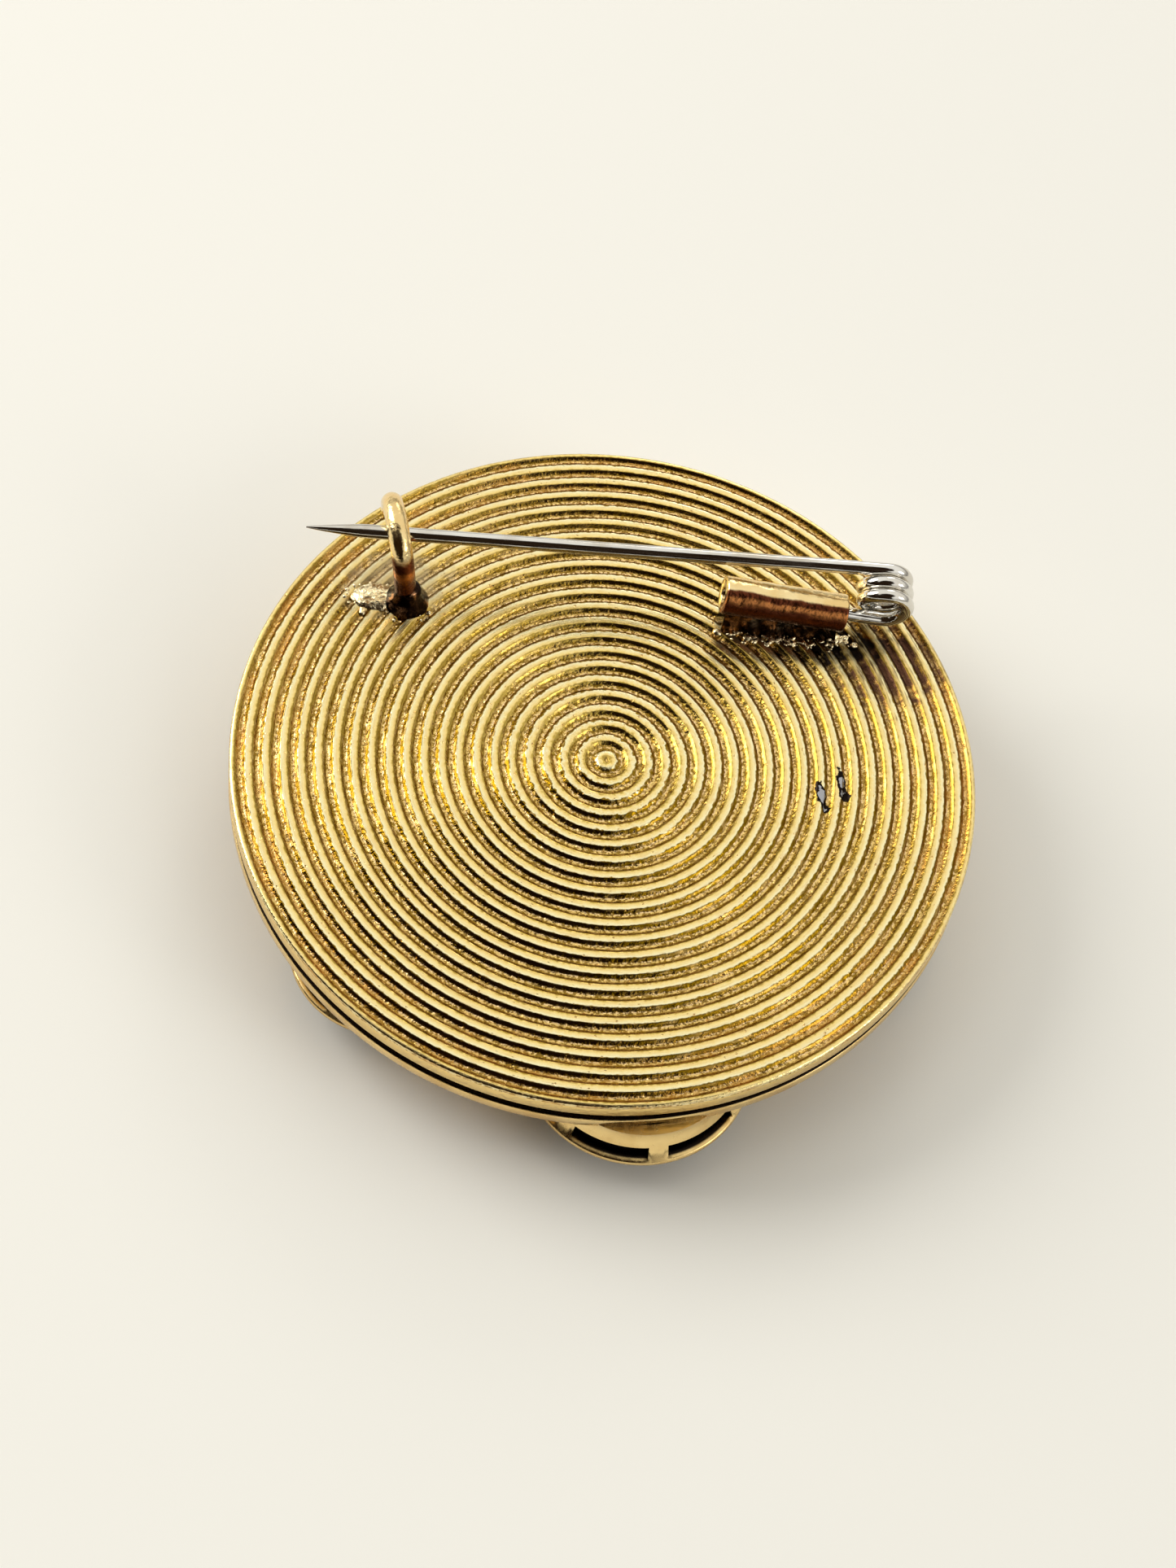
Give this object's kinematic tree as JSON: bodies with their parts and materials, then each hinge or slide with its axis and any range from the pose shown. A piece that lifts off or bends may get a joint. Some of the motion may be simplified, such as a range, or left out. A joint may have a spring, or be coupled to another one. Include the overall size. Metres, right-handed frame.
{
  "type": "lion brooch",
  "caption": "Round metal brooch with a ridged back, a wire hook and a spring pin; on its front a lion's head in relief among domed stones in pierced settings.",
  "frame": {"origin": "centre of the ridged back, level with the tops of its ridges", "axes": "+Z out of the back, +Y up as worn, +X to the right seen from behind; the lion on the front faces -Z"},
  "size_m": [0.042, 0.0434, 0.013],
  "materials": {
    "ridged_gold": "gold plated, satin ridge tops and rough grooves",
    "front_gold": "gold plated, polished",
    "cast_gold": "gold plated casting with darkened hollows",
    "pin_steel": "bright drawn wire",
    "dark_stone": "polished, nearly black"
  },
  "bodies": {
    "brooch": {"back_plate": "ridged_gold", "front_plate": "front_gold", "lion_head": "cast_gold", "pin_coil": "pin_steel", "stone_bottom": "dark_stone", "stone_1": "dark_stone", "stone_2": "dark_stone", "stone_3": "dark_stone", "stone_4": "dark_stone", "stone_5": "dark_stone"},
    "pin": {"pin_arm": "pin_steel"}
  },
  "joints": [
    {"name": "pin_release", "type": "hinge", "parent": "brooch", "child": "pin", "pos_m": [0.0171, 0.00898, 0.00295], "axis": [-0.1131, -0.7225, -0.682], "range_deg": [0, 9.5], "stiffness_Nm_per_rad": 0.02, "springref_deg": -5.73}
  ]
}
